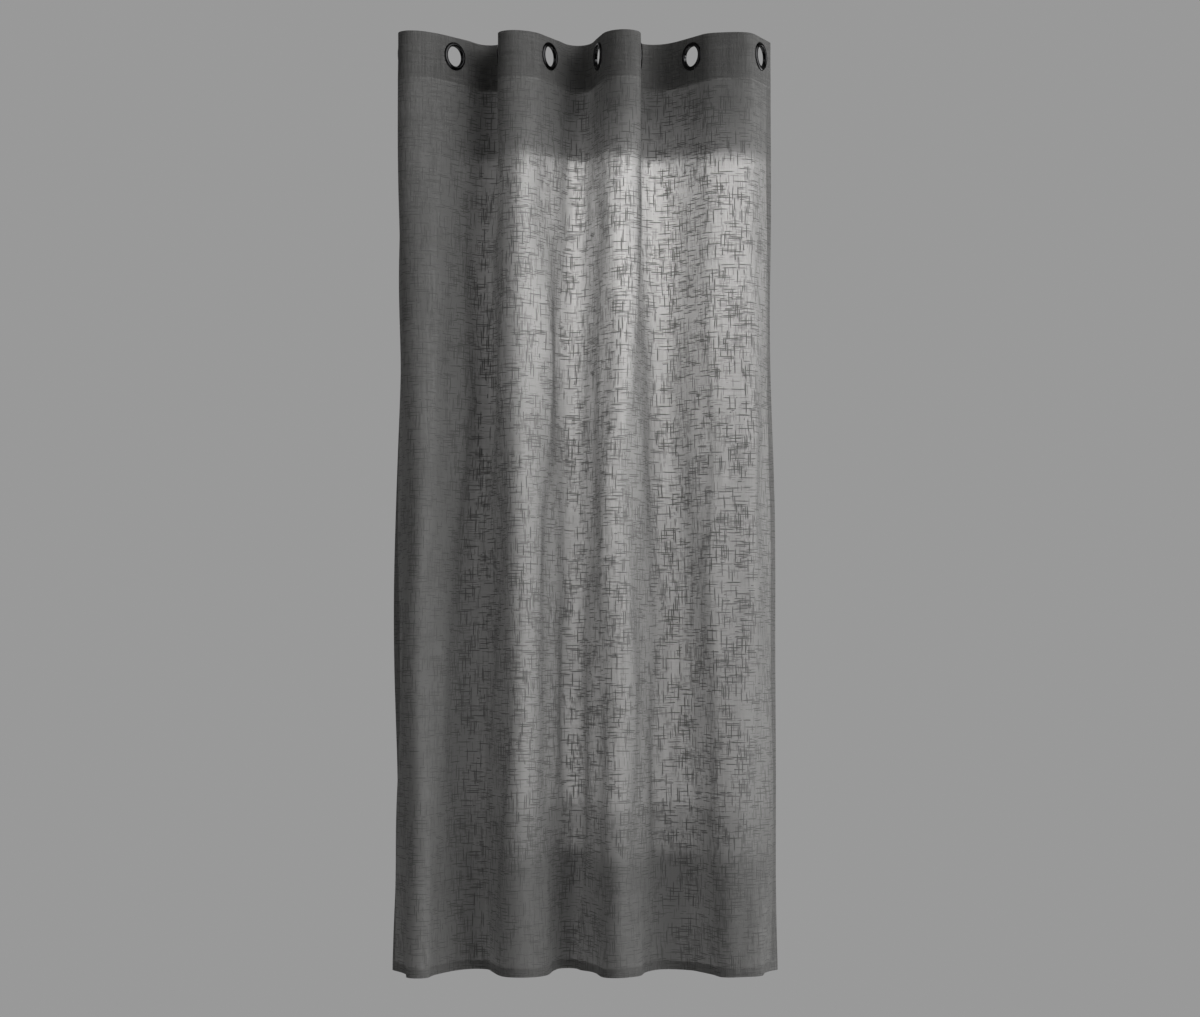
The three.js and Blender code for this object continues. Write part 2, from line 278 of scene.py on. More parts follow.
    def _wave_set(self) -> Array:
        """Long, low undulations of the hanging cloth: amplitude, two wave numbers and a phase each."""
        rng = np.random.default_rng(20)
        w = self.wrinkles
        waves = []
        for _ in range(w.wave_count):
            across, down = rng.uniform(*w.wave_across), rng.uniform(*w.wave_down)
            size = w.wave_height * (across / w.wave_unit)
            sign = rng.choice([-1, 1])
            waves.append((size, 2 * np.pi / across, sign * 2 * np.pi / down, rng.uniform(0, 2 * np.pi)))
        return np.array(waves)

    def ripple(self, s: Array, z: Array) -> Array:
        """Small natural unevenness of the cloth, out of its face.

        Args:
            s: Distance from the left edge along the cloth.
            z: Height.

        Returns:
            How far each point stands out of the smooth fold.
        """
        p, w = self.panel, self.wrinkles
        out = np.zeros_like(s)
        for size, ks, kz, phase in self.waves:
            out += size * np.sin(ks * s + kz * z + phase)
        out *= w.header_share + (1 - w.header_share) * smooth(*w.full_waves, p.z_header - z)
        pucker = np.sin(2 * np.pi * s / w.pucker_pitch + w.pucker_shift * sines(s, w.pucker_drift))
        seams = (p.z_header + p.seam_inset, w.header_pucker), (p.z_hem - p.seam_inset, w.hem_pucker)
        for level, (height, reach) in seams:
            out += height * np.exp(-np.abs(z - level) / reach) * pucker
        for k in range(p.eyelet_count):
            out *= smooth(*w.round_eyelet, np.hypot(s - p.eyelet_s(k), z))
        return out

    def hem_wave(self, s: Array, z: Array) -> Array:
        """How far the cloth sags or lifts near its bottom edge."""
        p, w = self.panel, self.wrinkles
        return smooth(p.z_hem + w.sag_reach, p.z_bottom, z) * sines(s, w.sags)

    def place(self, s: Array, z: Array, t: Array | float) -> Array:
        """Places of points of the cloth.

        Args:
            s: Distance from the left edge along the cloth.
            z: Height.
            t: Height out of the face, towards the room.

        Returns:
            One row of x, y and z a point.
        """
        p = self.panel
        s, z = np.asarray(s, float), np.asarray(z, float)
        last = self.x.shape[1] - 1
        u = (s - p.end_return) / p.pitch * self.hang.steps_per_fold
        inside = np.clip(u, 0, last)
        j = np.minimum(inside.astype(int), last - 1)
        fj = inside - j
        row = np.clip((p.z_top - z) / p.drop, 0, 1) * (self.hang.rows - 1)
        i = np.minimum(row.astype(int), self.hang.rows - 2)
        fi = row - i

        def sample(table: Array) -> Array:
            """Reads a table between its rows and steps.

            Args:
                table: Values by height and by step along the cloth.

            Returns:
                The value at each point.
            """
            above = table[i, j] * (1 - fj) + table[i, j + 1] * fj
            under = table[i + 1, j] * (1 - fj) + table[i + 1, j + 1] * fj
            return above * (1 - fi) + under * fi

        x, y, angle = sample(self.x), sample(self.y), sample(self.turn)
        beyond = np.minimum(s - p.end_return, 0) + np.maximum(s - (p.width - p.end_return), 0)
        x = x + beyond * np.cos(angle)
        y = y + beyond * np.sin(angle)
        out = t + self.ripple(s, z)
        x, y = x + out * np.sin(angle), y - out * np.cos(angle)
        return np.stack([x, y, z + self.hem_wave(s, z)], axis=-1)


# ----------------------------------------------------------------------------------------------------------
# Shader helpers
# ----------------------------------------------------------------------------------------------------------
class Graph:
    """A short way to add and join nodes in one tree."""

    def __init__(self, tree: bpy.types.NodeTree) -> None:
        """Keeps the tree that nodes are added to."""
        self.tree = tree

    def node(self, kind: str, **settings: object) -> bpy.types.Node:
        """Adds a node.

        Args:
            kind: Type name of the node.
            **settings: Properties of the node to set.

        Returns:
            The new node.
        """
        made = self.tree.nodes.new(kind)
        for name, value in settings.items():
            setattr(made, name, value)
        return made

    def join(self, source: object, target: bpy.types.NodeSocket) -> None:
        """Feeds a socket from another socket, or sets it to a plain value.

        Args:
            source: Socket, number or colour.
            target: Socket that receives it.
        """
        if isinstance(source, bpy.types.NodeSocket):
            self.tree.links.new(source, target)
        else:
            target.default_value = source

    def math(self, operation: str, *inputs: object) -> bpy.types.NodeSocket:
        """Adds a Math node.

        Args:
            operation: Name of the operation.
            *inputs: Sockets or numbers, in order.

        Returns:
            The result's socket.
        """
        made = self.node("ShaderNodeMath", operation=operation)
        for source, target in zip(inputs, made.inputs):
            self.join(source, target)
        return made.outputs[0]

    def mix(self, share: object, first: object, second: object, kind: str = "MIX") -> bpy.types.NodeSocket:
        """Mixes two colours.

        Args:
            share: How much of the second colour, a socket or a number.
            first: Socket or colour.
            second: Socket or colour.
            kind: Blend type.

        Returns:
            The mixed colour's socket.
        """
        made = self.node("ShaderNodeMix", data_type="RGBA", blend_type=kind)
        self.join(share, made.inputs[0])
        for source, target in ((first, made.inputs[6]), (second, made.inputs[7])):
            self.join((*source, 1.0) if isinstance(source, tuple) else source, target)
        return made.outputs[2]

    def ramp(
        self, value: object, low: float, high: float, to_low: float = 0.0, to_high: float = 1.0
    ) -> bpy.types.NodeSocket:
        """Maps a range of values smoothly onto another.

        Args:
            value: Socket to map.
            low: Value that gives to_low.
            high: Value that gives to_high.
            to_low: Result at low.
            to_high: Result at high.

        Returns:
            The mapped value's socket.
        """
        made = self.node("ShaderNodeMapRange", interpolation_type="SMOOTHSTEP")
        self.join(value, made.inputs["Value"])
        for name, number in (("From Min", low), ("From Max", high), ("To Min", to_low), ("To Max", to_high)):
            made.inputs[name].default_value = number
        return made.outputs["Result"]

    def noise(
        self, vector: object, scale: object, detail: float = 2.0, rough: float = 0.5
    ) -> bpy.types.NodeSocket:
        """Adds a noise pattern.

        Args:
            vector: Socket of the coordinates.
            scale: Repeats a metre, a socket or a number.
            detail: Number of finer layers.
            rough: Strength of the finer layers.

        Returns:
            The pattern's socket.
        """
        made = self.node("ShaderNodeTexNoise")
        for name, value in (("Vector", vector), ("Scale", scale), ("Detail", detail), ("Roughness", rough)):
            self.join(value, made.inputs[name])
        return made.outputs["Fac"]

    def scaled(self, vector: object, scale: tuple[float, float, float]) -> bpy.types.NodeSocket:
        """Stretches coordinates.

        Args:
            vector: Socket of the coordinates.
            scale: Factor for each axis.

        Returns:
            The stretched coordinates' socket.
        """
        made = self.node("ShaderNodeMapping")
        self.join(vector, made.inputs["Vector"])
        made.inputs["Scale"].default_value = scale
        return made.outputs["Vector"]

    def tent(self, part: object) -> bpy.types.NodeSocket:
        """Rises from 0 at either end of a unit step to 1 in its middle.

        Args:
            part: Socket of how far through the step, from 0 to 1.

        Returns:
            The height's socket.
        """
        middle = self.math("SUBTRACT", self.math("MULTIPLY", part, 2.0), 1.0)
        return self.math("SUBTRACT", 1.0, self.math("ABSOLUTE", middle))

    def less(self, value: object, share: float) -> bpy.types.NodeSocket:
        """What is left of 1 after a share of a value is taken away."""
        return self.math("SUBTRACT", 1.0, self.math("MULTIPLY", value, share))

    def tones(self, share: object, shade: Colour, dark: float, light: float) -> bpy.types.NodeSocket:
        """Varies a shade from darker to lighter.

        Args:
            share: Socket that is 0 where the shade is darkest and 1 where it is lightest.
            shade: The shade itself.
            dark: Factor of the darkest tone.
            light: Factor of the lightest tone.

        Returns:
            The colour's socket.
        """
        return self.mix(share, *(tuple(factor * c for c in shade) for factor in (dark, light)))

    def relief(self, height: object, strength: float, distance: float, face: bpy.types.Node) -> None:
        """Raises a surface by a pattern.

        Args:
            height: Socket of the pattern.
            strength: How much of the relief shows, from 0 to 1.
            distance: How high the pattern stands, in metres.
            face: The surface's shader.
        """
        bump = self.node("ShaderNodeBump")
        for name, value in (("Strength", strength), ("Distance", distance), ("Height", height)):
            self.join(value, bump.inputs[name])
        self.join(bump.outputs[0], face.inputs["Normal"])

    def layered(self, share: object, first: bpy.types.Node, second: bpy.types.Node) -> bpy.types.Node:
        """Mixes two shaders.

        Args:
            share: How much of the second one, a socket or a number.
            first: A shader's node.
            second: Another shader's node.

        Returns:
            The mixing node.
        """
        made = self.node("ShaderNodeMixShader")
        for source, target in zip((share, first.outputs[0], second.outputs[0]), made.inputs):
            self.join(source, target)
        return made


class PatternGroup:
    """A shader node group made once, with named inputs and outputs."""

    def __init__(self, name: str, inputs: dict[str, float | None], outputs: Sequence[str]) -> None:
        """Makes the empty group.

        Args:
            name: Name of the group.
            inputs: Each input's default; None makes a vector input.
            outputs: Names of the value outputs.
        """
        self.tree = bpy.data.node_groups.new(name, "ShaderNodeTree")
        for label, default in inputs.items():
            kind = "NodeSocketVector" if default is None else "NodeSocketFloat"
            made = self.tree.interface.new_socket(name=label, in_out="INPUT", socket_type=kind)
            if default is not None:
                made.default_value = default
        for label in outputs:
            self.tree.interface.new_socket(name=label, in_out="OUTPUT", socket_type="NodeSocketFloat")
        self.graph = Graph(self.tree)
        self.given = self.graph.node("NodeGroupInput")
        self.result = self.graph.node("NodeGroupOutput")

    def use(self, graph: Graph, **values: object) -> bpy.types.Node:
        """Places the group in a material.

        Args:
            graph: The material's graph.
            **values: Inputs to set, with underscores for spaces in their names.

        Returns:
            The group's node.
        """
        made = graph.node("ShaderNodeGroup", node_tree=self.tree)
        for name, value in values.items():
            graph.join(value, made.inputs[name.replace("_", " ")])
        return made


def slub_weave_group() -> PatternGroup:
    """Plain weave with uneven yarns and short thick slubs.

    Returns:
        A group whose outputs are Yarn, the unevenness of the yarns, Slub, the thick places, Cloud, the slow
        change of density, and Height, the relief of the weave.
    """
    made = PatternGroup(
        "slub weave",
        {"Cloth": None, "Slub share": 0.07, "Yarn pitch": 0.9},
        ("Yarn", "Slub", "Cloud", "Height"),
    )
    g, cloth = made.graph, made.given.outputs["Cloth"]
    split = g.node("ShaderNodeSeparateXYZ")
    g.join(cloth, split.inputs[0])
    across, down = split.outputs[0], split.outputs[1]
    cloud = g.noise(cloth, 9.0, 3.0, 0.55)
    crowding = g.ramp(g.noise(g.scaled(cloth, (1.4, 0.8, 1.0)), 14.0, 2.0, 0.6), 0.38, 0.62, 0.55, 1.45)

    def yarns(fine: tuple[float, float, float], coarse: tuple[float, float, float]) -> bpy.types.NodeSocket:
        """Unevenness of the yarns that run one way.

        Args:
            fine: Repeats a metre of the finer part, along each axis.
            coarse: Repeats a metre of the coarser part.

        Returns:
            The unevenness's socket.
        """
        near, far = (g.noise(g.scaled(cloth, repeats), 1.0, 2.0, 0.65) for repeats in (fine, coarse))
        return g.math("ADD", g.math("MULTIPLY", near, 0.6), g.math("MULTIPLY", far, 0.4))

    warp = yarns((620.0, 11.0, 1.0), (260.0, 5.0, 1.0))
    weft = yarns((14.0, 620.0, 1.0), (6.0, 260.0, 1.0))
    yarn = g.math("ADD", g.math("MULTIPLY", warp, 0.5), g.math("MULTIPLY", weft, 0.5))

    def slubs(side: object, way: object, gap: float, length: float, seed: float) -> bpy.types.NodeSocket:
        """Short thick places of yarns that run one way.

        Args:
            side: Socket of the distance across the yarns.
            way: Socket of the distance along them.
            gap: Width of the lane that a slub may lie in.
            length: Length of a slub.
            seed: Number that makes this set its own.

        Returns:
            The slubs' socket.
        """
        lane = g.math("DIVIDE", side, gap)
        index = g.math("FLOOR", lane)
        shift = g.node("ShaderNodeTexWhiteNoise", noise_dimensions="1D")
        g.join(g.math("ADD", index, seed), shift.inputs["W"])
        run = g.math("ADD", g.math("DIVIDE", way, length), g.math("MULTIPLY", shift.outputs["Value"], 7.0))
        cell = g.node("ShaderNodeCombineXYZ")
        g.join(index, cell.inputs[0])
        g.join(g.math("FLOOR", run), cell.inputs[1])
        cell.inputs[2].default_value = seed
        pick = g.node("ShaderNodeTexWhiteNoise", noise_dimensions="3D")
        g.join(cell.outputs[0], pick.inputs["Vector"])
        share = g.math("MULTIPLY", made.given.outputs["Slub share"], crowding)
        chosen = g.math("GREATER_THAN", pick.outputs["Value"], g.math("SUBTRACT", 1.0, share))
        tip, edge = g.tent(g.math("FRACT", run)), g.tent(g.math("FRACT", lane))
        return g.math("MULTIPLY", chosen, g.math("MULTIPLY", g.ramp(tip, 0.0, 0.5), g.ramp(edge, 0.34, 0.7)))

    bend = g.math("MULTIPLY", g.math("SUBTRACT", g.noise(cloth, 22.0, 1.0), 0.5), 0.004)
    bent_across, bent_down = g.math("ADD", across, bend), g.math("ADD", down, bend)
    long_warp = slubs(bent_across, down, 3.4 * MM, 34 * MM, 3.0)
    long_weft = slubs(bent_down, across, 3.2 * MM, 36 * MM, 11.0)
    fine_warp = slubs(bent_across, down, 2.3 * MM, 22 * MM, 23.0)
    fine_weft = slubs(bent_down, across, 2.1 * MM, 22 * MM, 31.0)
    fine_ones = g.math("MULTIPLY", g.math("MAXIMUM", fine_warp, fine_weft), 0.65)
    slub = g.math("MAXIMUM", g.math("MAXIMUM", long_warp, long_weft), fine_ones)
    pitch = g.math("MULTIPLY", made.given.outputs["Yarn pitch"], MM)

    def ridge(way: object) -> bpy.types.NodeSocket:
        """Waves one yarn apart."""
        return g.math("SINE", g.math("DIVIDE", g.math("MULTIPLY", way, 2 * math.pi), pitch))

    plain = g.math("MULTIPLY", ridge(across), ridge(down))
    thick = g.math("ADD", yarn, g.math("MULTIPLY", slub, 0.8))
    height = g.math("ADD", g.math("MULTIPLY", plain, 0.25), thick)
    for label, value in (("Yarn", yarn), ("Slub", slub), ("Cloud", cloud), ("Height", height)):
        g.join(value, made.result.inputs[label])
    return made


def handling_group() -> PatternGroup:
    """Faint soiling and rubbing of a handled surface.

    Returns:
        A group whose outputs are Rub, fine scuffs, and Dust, soft patches.
    """
    made = PatternGroup("handling", {"Place": None, "Scale": 60.0}, ("Rub", "Dust"))
    g, place = made.graph, made.given.outputs["Place"]
    rub = g.noise(place, made.given.outputs["Scale"], 6.0, 0.7)
    g.join(g.ramp(rub, 0.52, 0.74), made.result.inputs["Rub"])
    g.join(g.ramp(g.noise(place, 9.0, 3.0), 0.4, 0.7), made.result.inputs["Dust"])
    return made


class Patterns:
    """The pattern groups that the materials share, each built once."""

    def __init__(self) -> None:
        """Builds the groups."""
        self.weave = slub_weave_group()
        self.handling = handling_group()


def new_material(name: str) -> tuple[bpy.types.Material, Graph, bpy.types.Node]:
    """A material with an empty tree.

    Args:
        name: Name of the material.

    Returns:
        The material, its graph and its output node.
    """
    made = bpy.data.materials.new(name)
    made.use_nodes = True
    made.node_tree.nodes.clear()
    g = Graph(made.node_tree)
    return made, g, g.node("ShaderNodeOutputMaterial")


def cloth_coordinates(g: Graph) -> bpy.types.NodeSocket:
    """Coordinates that follow the cloth, in metres along and down it."""
    return g.node("ShaderNodeUVMap", uv_map="cloth").outputs["UV"]


# ----------------------------------------------------------------------------------------------------------
# Finishes
# ----------------------------------------------------------------------------------------------------------
@dataclass(frozen=True)
class SlubLinen:
    """Semi-sheer plain weave in mid grey, with slubs."""

    shade: Colour = (0.193, 0.192, 0.189)
    slub_shade: Colour = (0.165, 0.164, 0.161)
    glow: Colour = (0.66, 0.652, 0.64)
    open_share: float = 0.02
    glow_share: float = 0.24
    slub_share: float = 0.24
    # Painted shade: how much darker the colour is where the cloth lies two layers deep, in place of the light
    # those layers hold back.
    doubled_painted_shade: float = 0.14
    # Painted highlight: how much lighter the colour is along the fold at the header's lower edge.
    fold_painted_highlight: float = 0.5
    panel: PanelSizes = PanelSizes()

    def layers(self, g: Graph) -> bpy.types.NodeSocket:
        """Paints shade into the cloth's colour where it is turned over on itself, and paints a highlight
        along the fold that ends the header.

        Args:
            g: The material's graph.

        Returns:
            What the shade is multiplied by, with the painted shade and the painted highlight in it.
        """
        p, soft = self.panel, 0.8 * MM
        split = g.node("ShaderNodeSeparateXYZ")
        g.join(cloth_coordinates(g), split.inputs[0])
        across, down = split.outputs[0], g.math("SUBTRACT", p.drop - p.header_depth, split.outputs[1])
        hem, far = p.drop - p.bottom_hem, p.width - p.side_hem
        header = g.ramp(down, p.header_depth - soft, p.header_depth + soft, 1.0, 0.0)
        bottom = g.ramp(down, hem - soft, hem + soft)
        left = g.ramp(across, p.side_hem - soft, p.side_hem + soft, 1.0, 0.0)
        right = g.ramp(across, far - soft, far + soft)
        # Painted shade: a darker colour over the header, the bottom hem and both side hems.
        doubled = g.math("MAXIMUM", g.math("MAXIMUM", header, bottom), g.math("MAXIMUM", left, right))
        away = g.math("ABSOLUTE", g.math("SUBTRACT", down, p.header_depth - 2 * MM))
        # Painted highlight: a thin lighter line along the fold at the header's lower edge.
        fold = g.ramp(away, 1.2 * MM, 2.6 * MM, self.fold_painted_highlight, 0.0)
        return g.math("ADD", g.less(doubled, self.doubled_painted_shade), fold)

    def build(self, patterns: Patterns) -> bpy.types.Material:
        """Makes the material.

        Args:
            patterns: The shared pattern groups.

        Returns:
            The material.
        """
        made, g, out = new_material("slub linen")
        weave = patterns.weave.use(g, Cloth=cloth_coordinates(g), Slub_share=self.slub_share, Yarn_pitch=0.9)
        yarn, slub, cloud = weave.outputs["Yarn"], weave.outputs["Slub"], weave.outputs["Cloud"]
        tone = g.math("ADD", g.ramp(yarn, 0.41, 0.59, 0.68, 1.32), g.ramp(cloud, 0.3, 0.7, -0.06, 0.06))
        # The woven tone is multiplied here by the painted shade of the turned-over layers and the painted
        # highlight of the header fold.
        tone = g.math("MULTIPLY", tone, self.layers(g))
        plain = g.mix(1.0, self.shade, tone, "MULTIPLY")
        face = g.node("ShaderNodeBsdfPrincipled")
        g.join(g.mix(slub, plain, self.slub_shade), face.inputs["Base Color"])
        g.join(g.ramp(yarn, 0.3, 0.7, 0.95, 0.8), face.inputs["Roughness"])
        face.inputs["Sheen Weight"].default_value = 0.12
        face.inputs["Sheen Roughness"].default_value = 0.5
        face.inputs["Specular IOR Level"].default_value = 0.25
        g.relief(weave.outputs["Height"], 0.55, 0.4 * MM, face)
        lit = g.node("ShaderNodeBsdfTranslucent")
        passing = g.math("MULTIPLY", g.ramp(yarn, 0.38, 0.62, 1.5, 0.55), g.less(slub, 0.95))
        g.join(g.mix(1.0, self.glow, passing, "MULTIPLY"), lit.inputs["Color"])
        openness = g.math("MULTIPLY", passing, self.open_share)
        body = g.layered(self.glow_share, face, lit)
        whole = g.layered(openness, body, g.node("ShaderNodeBsdfTransparent"))
        g.join(whole.outputs[0], out.inputs["Surface"])
        return made


@dataclass(frozen=True)
class Interfacing:
    """Thin non-woven strip inside the header."""

    shade: Colour = (0.20, 0.197, 0.19)
    open_share: float = 0.35
    glow_share: float = 0.4

    def build(self, patterns: Patterns) -> bpy.types.Material:
        """Makes the material.

        Args:
            patterns: The shared pattern groups.

        Returns:
            The material.
        """
        made, g, out = new_material("header interfacing")
        cloth = cloth_coordinates(g)
        fibres = g.noise(cloth, 900.0, 5.0, 0.7)
        rub = patterns.handling.use(g, Place=cloth, Scale=200.0)
        face = g.node("ShaderNodeBsdfPrincipled")
        g.join(g.tones(g.ramp(fibres, 0.35, 0.65), self.shade, 0.75, 1.25), face.inputs["Base Color"])
        g.join(g.ramp(rub.outputs["Rub"], 0.0, 1.0, 0.95, 0.85), face.inputs["Roughness"])
        g.relief(fibres, 0.4, 0.3 * MM, face)
        lit = g.node("ShaderNodeBsdfTranslucent")
        lit.inputs["Color"].default_value = (*(2.0 * c for c in self.shade), 1.0)
        openness = g.ramp(fibres, 0.35, 0.65, self.open_share * 1.3, self.open_share * 0.7)
        body = g.layered(self.glow_share, face, lit)
        whole = g.layered(openness, body, g.node("ShaderNodeBsdfTransparent"))
        g.join(whole.outputs[0], out.inputs["Surface"])
        return made


@dataclass(frozen=True)
class SewingThread:
    """Spun polyester thread, twisted."""

    shade: Colour = (0.19, 0.187, 0.18)

    def build(self, patterns: Patterns) -> bpy.types.Material:
        """Makes the material.

        Args:
            patterns: The shared pattern groups.

        Returns:
            The material.
        """
        made, g, out = new_material("sewing thread")
        place = g.node("ShaderNodeTexCoord").outputs["Object"]
        twist = g.noise(g.scaled(place, (1400.0, 1400.0, 1400.0)), 1.0, 2.0)
        dust = patterns.handling.use(g, Place=place, Scale=90.0)
        face = g.node("ShaderNodeBsdfPrincipled")
        g.join(g.tones(g.ramp(twist, 0.35, 0.65), self.shade, 0.6, 1.3), face.inputs["Base Color"])
        g.join(g.ramp(dust.outputs["Dust"], 0.0, 1.0, 0.6, 0.8), face.inputs["Roughness"])
        g.relief(twist, 0.5, 0.1 * MM, face)
        g.join(face.outputs[0], out.inputs["Surface"])
        return made


@dataclass(frozen=True)
class BlackNickel:
    """Dark plated metal of the eyelets, rubbed where the rod runs."""

    shade: Colour = (0.008, 0.008, 0.009)
    worn: Colour = (0.07, 0.07, 0.072)
    rough: float = 0.14

    def build(self, patterns: Patterns) -> bpy.types.Material:
        """Makes the material.

        Args:
            patterns: The shared pattern groups.

        Returns:
            The material.
        """
        made, g, out = new_material("black nickel")
        place = g.node("ShaderNodeTexCoord").outputs["Object"]
        use = patterns.handling.use(g, Place=place, Scale=420.0)
        rubbed = g.node("ShaderNodeAttribute", attribute_name="rubbed")
        bare = g.math("MULTIPLY", rubbed.outputs["Fac"], g.ramp(use.outputs["Rub"], 0.0, 1.0, 0.55, 1.0))
        face = g.node("ShaderNodeBsdfPrincipled")
        g.join(g.mix(bare, self.shade, self.worn), face.inputs["Base Color"])
        face.inputs["Metallic"].default_value = 1.0
        dusty = g.math("MULTIPLY", use.outputs["Dust"], 0.09)
        haze = g.math("ADD", dusty, g.math("MULTIPLY", use.outputs["Rub"], 0.12))
        g.join(g.math("ADD", haze, self.rough), face.inputs["Roughness"])
        face.inputs["Coat Weight"].default_value = 0.6
        face.inputs["Coat Roughness"].default_value = 0.08
        g.relief(use.outputs["Rub"], 0.08, 0.2 * MM, face)
        g.join(face.outputs[0], out.inputs["Surface"])
        return made


@dataclass(frozen=True)
class PalePaint:
    """Plain pale floor."""

    shade: Colour = (0.85, 0.85, 0.85)

    def build(self) -> bpy.types.Material:
        """Makes the material.

        Returns:
            The material.
        """
        made, g, out = new_material("pale floor")
        place = g.node("ShaderNodeTexCoord").outputs["Object"]
        face = g.node("ShaderNodeBsdfPrincipled")
        g.join(g.tones(g.noise(place, 3.0, 3.0), self.shade, 0.97, 1.03), face.inputs["Base Color"])
        face.inputs["Roughness"].default_value = 0.85
        g.join(face.outputs[0], out.inputs["Surface"])
        return made


# ----------------------------------------------------------------------------------------------------------
# Mesh helpers
# ----------------------------------------------------------------------------------------------------------
def deselect_all() -> None:
    """Leaves object mode with nothing selected."""
    if bpy.context.object and bpy.context.object.mode != "OBJECT":
        bpy.ops.object.mode_set(mode="OBJECT")
    bpy.ops.object.select_all(action="DESELECT")


def make_mesh(
    name: str,
    points: Array,
    faces: Iterable[Sequence[int]],
    flat_map: Array | None,
    finish: bpy.types.Material,
) -> bpy.types.Object:
    """Makes a smooth-shaded piece from points and faces.

    Args:
        name: Name of the piece.
        points: One row of x, y and z a point.
        faces: Corners of each face.
        flat_map: Each point's place on the flat cloth, or None.
        finish: Its material.

    Returns:
        The piece, linked to the scene.
    """
    mesh = bpy.data.meshes.new(name)
    mesh.from_pydata(points.tolist(), [], [list(f) for f in faces])
    mesh.polygons.foreach_set("use_smooth", np.ones(len(mesh.polygons), bool))
    if flat_map is not None:
        layer = mesh.uv_layers.new(name="cloth")
        corners = np.empty(len(mesh.loops), np.int32)
        mesh.loops.foreach_get("vertex_index", corners)
        layer.data.foreach_set("uv", flat_map[corners].astype(np.float32).ravel())
    mesh.materials.append(finish)
    mesh.update()
    made = bpy.data.objects.new(name, mesh)
    bpy.context.scene.collection.objects.link(made)
    return made


class SheetGrid:
    """Rows and columns of a cloth layer, collected into one mesh."""

    def __init__(self) -> None:
        """Starts with no points."""
        self.points: list[Array] = []
        self.flat: list[Array] = []
        self.faces: list[tuple[int, ...]] = []
        self.count = 0

    def add(self, points: Array, flat: Array, rows: int, cols: int, keep: Array, outward: bool) -> None:
        """Adds one grid.

        Args:
            points: Places, row by row.
            flat: Places on the flat cloth, row by row.
            rows: Number of rows.
            cols: Number of columns.
            keep: Which points are cloth; a face needs all of its corners.
            outward: Whether the faces point towards the room when rows run down and columns run right.
        """
        index = np.arange(rows * cols).reshape(rows, cols) + self.count
        keep = keep.reshape(rows, cols)
        whole = keep[:-1, :-1] & keep[1:, :-1] & keep[:-1, 1:] & keep[1:, 1:]
        a, b, c, d = index[:-1, :-1], index[1:, :-1], index[1:, 1:], index[:-1, 1:]
        corners = (a, b, c, d) if outward else (a, d, c, b)
        quads = np.stack([q[whole] for q in corners], axis=1)
        self.faces += [tuple(q) for q in quads.tolist()]
        self.points.append(points)
        self.flat.append(flat)
        self.count += rows * cols

    def mesh(self, name: str, finish: bpy.types.Material) -> bpy.types.Object:
        """Makes the piece, without points that no face uses.

        Args:
            name: Name of the piece.
            finish: Its material.

        Returns:
            The piece.
        """
        points, flat = np.concatenate(self.points), np.concatenate(self.flat)
        faces = np.array(self.faces)
        used = np.unique(faces)
        renumber = np.zeros(len(points), int)
        renumber[used] = np.arange(len(used))
        return make_mesh(name, points[used], renumber[faces].tolist(), flat[used], finish)


# ----------------------------------------------------------------------------------------------------------
# Sub-assemblies
# ----------------------------------------------------------------------------------------------------------
@dataclass
class Strip:
    """One stretch of the panel, from one eyelet line to the next; the two end stretches ride with the body of
    their eyelet.
    """

    index: int
    panel: PanelSizes
    drape: Drape
    still: float = 0.0025

    @property
    def span(self) -> tuple[float, float]:
        """Where the strip begins and ends along the cloth."""
        count = self.panel.eyelet_count
        begin = 0.0 if self.index == 0 else self.panel.eyelet_s(self.index - 1)
        end = self.panel.width if self.index == count else self.panel.eyelet_s(self.index)
        return begin, end

    def body(self, eyelet: int) -> str:
        """Name of the body that holds an eyelet, counted from 0."""
        return "panel" if eyelet == 0 else f"slider_{eyelet + 1}"

    def edge_x(self, s: float) -> Array:
        """Places along the rod of one line down the cloth."""
        z = np.linspace(self.panel.z_top, self.panel.z_bottom, 120)
        return self.drape.place(np.full_like(z, s), z, 0.0)[:, 0]

    def open_holes(self, s: Array, z: Array) -> tuple[Array, Array, Array]:
        """Opens the eyelet holes in a grid, and draws the points beside each one out to its round edge.

        Args:
            s: Distance from the left edge along the cloth.
            z: Height.

        Returns:
            The moved distances and heights, and which points are cloth.
        """
        p, keep = self.panel, np.ones(s.shape, bool)
        rim = p.hole_radius - p.hole_snap
        for k in range(p.eyelet_count):
            ds = s - p.eyelet_s(k)
            away = np.hypot(ds, z)
            keep &= away >= rim
            near = (away < p.hole_radius) & (away >= rim)
            grow = np.where(near, p.hole_radius / np.maximum(away, 1e-9), 1.0)
            s, z = p.eyelet_s(k) + ds * grow, z * grow
        return s, z, keep

    def seam_pinch(self, z: Array) -> Array:
        """Share of the header's thickness that the header seam leaves at each height."""
        p = self.panel
        return 1 - p.pinch_share * np.exp(-(((z - p.z_header - p.seam_inset) / p.pinch_reach) ** 2))

    def hold(self, piece: bpy.types.Object) -> None:
        """Attaches a piece of an end strip to the body of its eyelet, and bakes the placement of a piece of a
        middle strip into its points.

        Args:
            piece: A finished piece.
        """
        if self.index == 0:
            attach(piece, self.body(0))
        elif self.index == self.panel.eyelet_count:
            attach(piece, self.body(self.panel.eyelet_count - 1))
        else:
            begin, end = self.span
            left = float(self.edge_x(begin).max()) + self.still
            right = float(self.edge_x(end).min()) - self.still
            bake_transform(piece)


